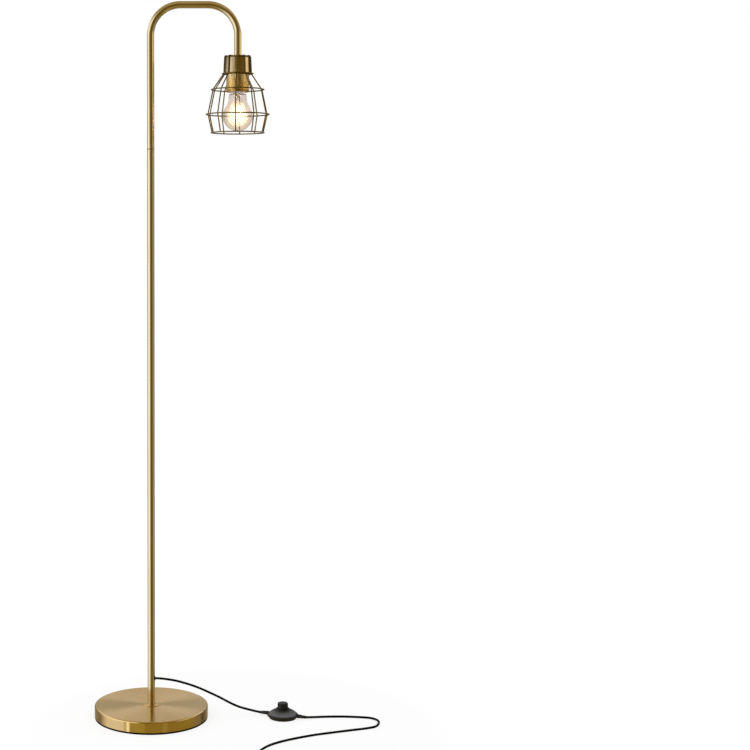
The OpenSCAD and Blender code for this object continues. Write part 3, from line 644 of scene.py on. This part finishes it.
def spun_brass(name):
    """The base's plating: its top brushed in rings about the pole, its rim polished."""
    made, tree = new_material(name)
    x, y, z = tree.parts(tree.object_place())
    angle = tree.math("ARCTAN2", y, x)
    rings_at = tree.node("CombineXYZ", {0: tree.math("MULTIPLY", tree.length(x, y), SPIN_SCALE),
                                        1: tree.math("MULTIPLY", angle, 1.2),
                                        2: tree.math("MULTIPLY", z, SPIN_SCALE)}).outputs[0]
    rings = tree.noise(rings_at, 1.0, 4.0, 0.65)
    patches = tree.noise(tree.stretched((16, 16, 16)), 1.0, 3.0)
    tone = tree.math("ADD", tree.math("MULTIPLY", patches, 0.45),
                     tree.math("MULTIPLY", rings, 0.55))
    colour = tree.ramp(tone, list(zip((0.3, 0.5, 0.7), (WARM_DEEP, WARM_MID, WARM_PALE))))
    on_top = tree.between(z, 0.0, 1.0, *(edge * MM for edge in BASE_EDGE))
    rough = tree.math("ADD", tree.between(rings, 0.02, 0.045),
                      tree.math("MULTIPLY", on_top, TOP_ROUGH))
    tangent = tree.node("Tangent", direction_type="RADIAL", axis="Z").outputs[0]
    finish_material(tree, principled(
        tree, colour=colour, metal=1.0, rough=rough,
        normal=tree.bump(tree.math("MULTIPLY", rings, on_top), 0.06),
        tangent=tangent, aniso=1.0, aniso_turn=0.25, coat=0.1, coat_rough=0.2))
    return made


def moulded(name, dark, light, roughness, grain, bump, rings=0.0, specular=0.5):
    """Moulded plastic or rubber: a fine grain, and a little dust in the tone.

    The switch's cover has turned ridges too, and a painted light on its slope, with painted
    shade on its side and round its button.
    """
    made, tree = new_material(name)
    fine = tree.noise(tree.stretched((grain, grain, grain)), 1.0, 2.0)
    broad = tree.noise(tree.stretched((40, 40, 40)), 1.0, 3.0)
    tone = tree.math("ADD", tree.math("MULTIPLY", fine, 0.5), tree.math("MULTIPLY", broad, 0.5))
    colour = tree.ramp(tone, [(0.35, dark), (0.65, light)])
    normal = tree.bump(fine, bump)
    if rings:
        x, y, z = tree.parts(tree.object_place())
        dx = tree.math("SUBTRACT", x, SWITCH_AT[0] * MM)
        dy = tree.math("SUBTRACT", y, SWITCH_AT[1] * MM)
        away = tree.length(dx, dy)
        wave = tree.math("SINE", tree.math("MULTIPLY", away, TURN / (RIDGE_PITCH * MM)))
        # Painted light on the cover's slope, and painted shade on its side and round its button
        near, far = (r * MM for r in PAINTED_LIGHT_RADII)
        foot, over = (h * MM for h in PAINTED_LIGHT_FOOT)
        slope = tree.math("MULTIPLY", tree.between(away, 0.0, 1.0, near, far, "SMOOTHSTEP"),
                          tree.between(z, 0.0, 1.0, foot, over))
        colour = tree.mix(slope, (*grey(0.012), 1), colour)
        normal = tree.node("Bump", {"Height": wave, "Strength": rings, "Distance": 0.0003,
                                    "Normal": normal}).outputs[0]
    finish_material(tree, principled(
        tree, colour=colour, rough=tree.between(broad, roughness * 0.85, roughness * 1.15),
        normal=normal, specular=specular))
    return made


def plain_metal(name, dark, light, roughness):
    """Zinc, nickel or cast metal of the inner pieces."""
    made, tree = new_material(name)
    patches = tree.noise(tree.stretched((120, 120, 120)), 1.0, 4.0)
    finish_material(tree, principled(
        tree, colour=tree.ramp(patches, [(0.35, dark), (0.65, light)]), metal=1.0,
        rough=tree.between(patches, roughness * 0.8, roughness * 1.2),
        normal=tree.bump(patches, 0.1)))
    return made


# Half the height over which a glass turns from its body's painted warm tint to its neck's, in
# metres
NECK_FADE = 0.014


def clear_glass(name, body, neck, roughness, neck_z):
    """Blown glass with faint waves, its body warmer than its neck by a painted glow of the
    filaments. Lamps shine through.
    """
    made, tree = new_material(name)
    waves = tree.noise(tree.stretched((30, 30, 18)), 1.0, 2.0)
    z = tree.parts(tree.object_place())[2]
    share = tree.between(z, 0.0, 1.0, neck_z - NECK_FADE, neck_z + NECK_FADE, "SMOOTHSTEP")
    # The body's warm tint is a painted glow of the lit filaments
    tint = tree.mix(share, (*body, 1), (*neck, 1))
    glass = principled(tree, colour=tint, rough=roughness, ior=1.47, glass=1.0,
                       normal=tree.bump(waves, 0.08, 0.001))
    clear = tree.node("BsdfTransparent", {"Color": tint}).outputs[0]
    shadow_ray = tree.node("LightPath").outputs["Is Shadow Ray"]
    finish_material(tree, tree.blend(shadow_ray, glass, clear))
    return made


def glowing(name, colour, strength):
    """The lit filament strips, a little brighter along some stretches."""
    made, tree = new_material(name)
    grains = tree.noise(tree.stretched((700, 700, 900)), 1.0, 1.0)
    finish_material(tree, principled(
        tree, colour=(0.9, 0.62, 0.2, 1), rough=0.5, glow_strength=strength,
        glow=tree.ramp(grains, [(0.3, colour), (0.7, (1, 0.93, 0.72))])))
    return made


def lit_air(name, middle, strength):
    """A glow that is brightest about the filaments and gone at its edge."""
    made, tree = new_material(name)
    x, y, z = tree.parts(tree.object_place())
    squares = []
    for value, centre, reach in ((x, middle[0], GLOW_R), (y, middle[1], GLOW_R),
                                 (z, middle[2], GLOW_H)):
        off = tree.math("DIVIDE", tree.math("SUBTRACT", value, centre * MM), reach * MM)
        squares.append(tree.math("MULTIPLY", off, off))
    far = tree.math("SQRT", tree.math("ADD", tree.math("ADD", *squares[:2]), squares[2]))
    near = tree.math("POWER", tree.between(far, 1.0, 0.0), 1.6)
    colour = tree.ramp(near, [(0.0, (1, 0.80, 0.50)), (0.5, (1, 0.93, 0.74))])
    emission = tree.node("Emission", {"Color": colour,
                                      "Strength": tree.math("MULTIPLY", near, strength)})
    finish_material(tree, emission.outputs[0], "Volume")
    return made


def make_materials():
    warm = (WARM_DEEP, WARM_MID, WARM_PALE)
    black = dict(dark=grey(0.004), light=grey(0.009))
    return {
        "satin_brass": brass("satin_brass", 0.15, (700, 700, 9), 0.06),
        # The sleeve's streaks run from dark to pale: drawn streaks in the brass, and painted
        # reflections in stripes
        "sleeve_brass": brass("sleeve_brass", 0.06, (300, 300, 3), 0.6,
                              ((0.3, 0.21, 0.1), (0.68, 0.54, 0.35), (1.0, 0.86, 0.63)), coat=0.1,
                              distance=0.0006),
        "satin_brass_base": spun_brass("satin_brass_base"),
        # The wires' brass is painted far darker than brass: painted shade and dark reflections on
        # the thin wires
        "wire_brass": brass("wire_brass", 0.18, (500, 500, 500), 0.05,
                            ((0.15, 0.105, 0.02), (0.20, 0.145, 0.03), (0.27, 0.2, 0.05)), 0.05),
        # Low down, by the lit bulb, the polished brass is painted orange with the bulb's light,
        # fading out upwards
        "polished_brass": brass("polished_brass", 0.11, (300, 300, 9), 1.0, coat=0.1,
                                distance=0.0015,
                                painted_bulb_light=(1.38, 1.425, (0.74, 0.46, 0.14))),
        "contact_brass": brass("contact_brass", 0.3, (300, 300, 300), 0.1, warm),
        "zinc_steel": plain_metal("zinc_steel", grey(0.42), grey(0.62), 0.3),
        "cast_weight": plain_metal("cast_weight", grey(0.05), grey(0.12), 0.6),
        "foam_pad": moulded("foam_pad", grey(0.001), grey(0.004), 0.9, 1500, 0.4, specular=0.1),
        "black_rubber": moulded("black_rubber", roughness=0.6, grain=1500, bump=0.2, **black),
        "black_plastic": moulded("black_plastic", grey(0.006), grey(0.012), 0.4, 2200, 0.25,
                                 specular=0.25),
        # The cover's pale grey is the painted light on its slope; its side and the ring round its
        # button are painted in shade
        "ridged_plastic": moulded("ridged_plastic", (0.1, 0.1, 0.108), (0.135, 0.135, 0.145), 0.5,
                                  2200, 0.25, rings=0.5, specular=0.3),
        "holder_moulding": moulded("holder_moulding", grey(0.6), grey(0.72), 0.45, 900, 0.1),
        "cord_sheath": moulded("cord_sheath", grey(0.001), grey(0.003), 0.5, 900, 0.1,
                               specular=0.08),
        "clear_glass": clear_glass("clear_glass", (0.86, 0.765, 0.67), (0.79, 0.755, 0.74), 0.0,
                                   1.359),
        "stem_glass": clear_glass("stem_glass", (0.97, 0.95, 0.90), (0.93, 0.93, 0.93), 0.05,
                                  1.35),
        "bulb_cap_metal": plain_metal("bulb_cap_metal", grey(0.5), grey(0.7), 0.28),
        "filament": glowing("filament", (1, 0.84, 0.58), 1.6),
        # The seam's dark brass is a painted shadow line in its groove
        "seam_painted_shadow": brass("seam_painted_shadow", 0.3, (500, 500, 500), 0.1,
                            ((0.20, 0.13, 0.04), (0.26, 0.18, 0.07), (0.34, 0.25, 0.1)), coat=0.0),
    }


materials = make_materials()


def dress(made, material):
    """Gives a piece its material."""
    made.data.materials.clear()
    made.data.materials.append(material)


# Nodes whose look isn't that of their material slot
SPECIAL = {"switch_cover": "ridged_plastic", "shade_sleeve": "sleeve_brass"}
for name, node in nodes.items():
    for held in node.material_slots:
        slot_name = held.material.name.split(".")[0] if held.material else ""
        look = SPECIAL.get(name, slot_name)
        if look in materials:
            held.material = materials[look]
for piece, material in ((run, "cord_sheath"), (tail, "cord_sheath"), (reliefs, "black_rubber"),
                        (plug_shell, "black_plastic"), (ribs, "wire_brass"),
                        (welds, "wire_brass"), (seam, "seam_painted_shadow"),
                        (bulb_thread, "bulb_cap_metal")):
    dress(piece, materials[material])
dress(glow, lit_air("lit_air", glow_middle, 95.0))


# The studio

FLOOR_R = 0.75
FLOOR_AT = (0.18, -0.1, 0)
# What shows of the floor is this much plain white in its middle, and all white past the second
# of two distances from there, so that the shadow on it fades before its edge
FLOOR_WHITE = 0.75
FLOOR_FADE = (0.42, 0.7)
WALL_R = 6
WALL_AT = (0, 0, 0.8)
# The world's strength where it lights a surface. Where it shows, it is 1
WORLD_LIGHT = 0.75

# The wall's tones. Its soft boxes are the ones near 1 and over it
WARM_DARK = (0.15, 0.115, 0.04)
BACK = (0.45, 0.43, 0.44)
WARM_GREY = (0.24, 0.21, 0.15)
WALL_LEFT = (1.25, 1.25, 1.25)
WALL_LEFT_END = (1.25, 1.25, 1.23)
AMBER = (0.32, 0.27, 0.16)
WALL_RIGHT = (0.42, 0.38, 0.28)
BROWN = (0.15, 0.12, 0.07)

# What the metal mirrors at each bearing in degrees: 0 is towards the camera, + to its right
LEVEL_BANDS = [
    (-180, BACK), (-140, WARM_GREY), (-124, WARM_GREY), (-106, grey(0.9)), (-96, WALL_LEFT),
    (-32, WALL_LEFT_END), (-20, AMBER), (-8, WARM_DARK), (52, WARM_DARK), (62, WALL_RIGHT),
    (104, WALL_RIGHT), (122, BROWN), (148, WARM_GREY), (180, BACK)]

# The same under the lamp's foot, with a narrow strip light at the left
BOX_LEFT = (0.92, 0.9, 0.9)
STRIP = (1.3, 1.3, 1.3)
NOTCH = (0.66, 0.62, 0.5)
NEAR = (0.42, 0.34, 0.085)
SHADE = (0.325, 0.245, 0.055)
GAP = (0.39, 0.32, 0.11)
DARK = (0.11, 0.085, 0.06)
DIM = (0.27, 0.22, 0.15)
LOW_BANDS = [
    (-180, BACK), (-140, DIM), (-122, DIM), (-98, BOX_LEFT), (-57, BOX_LEFT), (-53, NOTCH),
    (-50.5, NOTCH), (-48, STRIP), (-44.5, STRIP), (-41.5, NEAR), (-14, NEAR), (-9, SHADE),
    (22, SHADE), (26, GAP), (31, GAP), (35, SHADE), (90, SHADE), (104, DIM), (116, DIM),
    (127, DARK), (150, DIM), (180, BACK)]

# Beside the lamp's head: a grey card behind, and a strip light at the right
CARD = (0.48, 0.45, 0.38)
CARD_RIGHT = (1.4, 1.2, 0.86)
CARD_BANDS = [
    (-180, CARD), (-134, CARD), (-124, WARM_GREY), (-106, grey(0.9)), (-96, WALL_LEFT),
    (-56, WALL_LEFT_END), (-46, (0.5, 0.43, 0.28)), (-20, AMBER), (-8, WARM_DARK),
    (52, WARM_DARK), (62, (0.42, 0.36, 0.24)), (72, CARD_RIGHT), (96, CARD_RIGHT),
    (106, (0.3, 0.24, 0.15)), (122, BROWN), (134, CARD), (180, CARD)]

# Over the card, a wide soft box behind
BOX = (1.1, 1.02, 1.06)
FRONT = (0.2, 0.12, 0.01)
BOX_BANDS = [
    (-180, BOX), (-126, BOX), (-106, grey(0.9)), (-96, WALL_LEFT), (-32, WALL_LEFT_END),
    (-20, FRONT), (52, FRONT), (62, WALL_RIGHT), (104, WALL_RIGHT), (126, BOX), (180, BOX)]

OVERHEAD = (0.46, 0.36, 0.19)
ZENITH = (0.3, 0.26, 0.14)
UNDERFOOT = (0.32, 0.22, 0.1)
# A ramp's colours stop at 1, so the wall's tones are divided by this and it shines as much more
WALL_SHINE = 1.4


def wall_material():
    """The wall's bands by bearing, and from one level to the next by the rise over the horizon."""
    made, tree = new_material("studio_wall")
    x, y, z = tree.parts(tree.object_place())
    bearing = tree.math("ARCTAN2", x, tree.math("MULTIPLY", y, -1.0))
    share = tree.math("ADD", tree.math("DIVIDE", bearing, TURN), 0.5)
    rise = tree.math("ARCTAN2", z, tree.length(x, y))

    def tone(colour):
        return tuple(v / WALL_SHINE for v in colour)

    def bands(stops):
        return tree.ramp(share, [((a + 180) / 360, tone(c)) for a, c in stops])

    def over(low, high):
        """0 under the low rise and 1 over the high one, in degrees."""
        return tree.between(rise, 0.0, 1.0, math.radians(low), math.radians(high))

    def under(low, high):
        return tree.between(rise, 1.0, 0.0, math.radians(low), math.radians(high))

    colour = tree.mix(under(-24.6, -23.8), bands(LEVEL_BANDS), bands(LOW_BANDS))
    colour = tree.mix(over(7, 9), colour, bands(CARD_BANDS))
    colour = tree.mix(over(15, 20), colour, bands(BOX_BANDS))
    colour = tree.mix(over(32, 46), colour, (*tone(OVERHEAD), 1))
    colour = tree.mix(over(66, 80), colour, (*tone(ZENITH), 1))
    colour = tree.mix(under(-60, -40), colour, (*tone(UNDERFOOT), 1))
    emission = tree.node("Emission", {"Color": colour, "Strength": WALL_SHINE})
    finish_material(tree, emission.outputs[0])
    return made


def seen_directly(tree):
    """1 for rays that come from the camera, a mirroring surface or glass."""
    path = tree.node("LightPath").outputs
    return tree.math("MINIMUM", 1.0, tree.math("ADD", path["Is Camera Ray"], tree.math(
        "ADD", path["Is Glossy Ray"], path["Is Transmission Ray"])))


def floor_material():
    """A pale floor that shows white and keeps a soft shadow, which fades before its edge."""
    made, tree = new_material("floor")
    x, y, _ = tree.parts(tree.object_place())
    share = tree.between(tree.length(x, y), FLOOR_WHITE, 1.0, *FLOOR_FADE)
    diffuse = tree.node("BsdfDiffuse", {"Color": (0.85, 0.85, 0.85, 1)}).outputs[0]
    white = tree.node("Emission", {"Color": (1, 1, 1, 1), "Strength": 1.07}).outputs[0]
    finish_material(tree, tree.blend(tree.math("MULTIPLY", seen_directly(tree), share),
                                     diffuse, white))
    return made


def make_world():
    """An even white light, a little weaker for what it lights than for what shows it."""
    world = bpy.data.worlds.new("world")
    bpy.context.scene.world = world
    tree = Tree(world)
    strength = tree.between(seen_directly(tree), WORLD_LIGHT, 1.0)
    background = tree.node("Background", {"Color": (1, 1, 1, 1), "Strength": strength})
    tree.node("OutputWorld", {"Surface": background.outputs[0]})


def make_floor():
    bm = bmesh.new()
    bmesh.ops.create_circle(bm, cap_ends=True, segments=96, radius=FLOOR_R)
    floor = mesh_object("floor", bm, smooth=False)
    floor.location = FLOOR_AT
    floor.visible_glossy = False
    floor.data.materials.append(floor_material())


def make_wall():
    """A dome round the lamp that only mirroring rays see: soft boxes with dark between them."""
    bm = bmesh.new()
    bmesh.ops.create_uvsphere(bm, u_segments=64, v_segments=32, radius=WALL_R)
    wall = mesh_object("studio_wall", bm)
    wall.location = WALL_AT
    wall.data.materials.append(wall_material())
    for kind in ("camera", "diffuse", "transmission", "volume_scatter", "shadow"):
        setattr(wall, "visible_" + kind, False)


def make_key_light():
    """A wide soft lamp up at the left."""
    place, aim = Vector((-1.6, -1.8, 2.6)), Vector((0.1, 0, 0.5))
    data = bpy.data.lights.new("key", "AREA")
    data.shape = "RECTANGLE"
    data.size, data.size_y = 1.6, 1.6
    data.energy = 22
    made = bpy.data.objects.new("key", data)
    made.location = place
    made.rotation_euler = (aim - place).to_track_quat("-Z", "Y").to_euler()
    made.visible_camera = False
    made.visible_glossy = False
    bpy.context.scene.collection.objects.link(made)


def make_lamp_light():
    """The light that the lit bulb casts on the metal round it."""
    data = bpy.data.lights.new("bulb_light", "POINT")
    data.energy = 0.3
    data.color = (1, 0.88, 0.68)
    data.shadow_soft_size = 0.03
    made = bpy.data.objects.new("bulb_light", data)
    made.location = metres(glow_middle)
    made.visible_camera = False
    made.visible_transmission = False
    bpy.context.scene.collection.objects.link(made)
    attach(made, "bulb")


make_world()
make_floor()
make_wall()
make_key_light()
make_lamp_light()
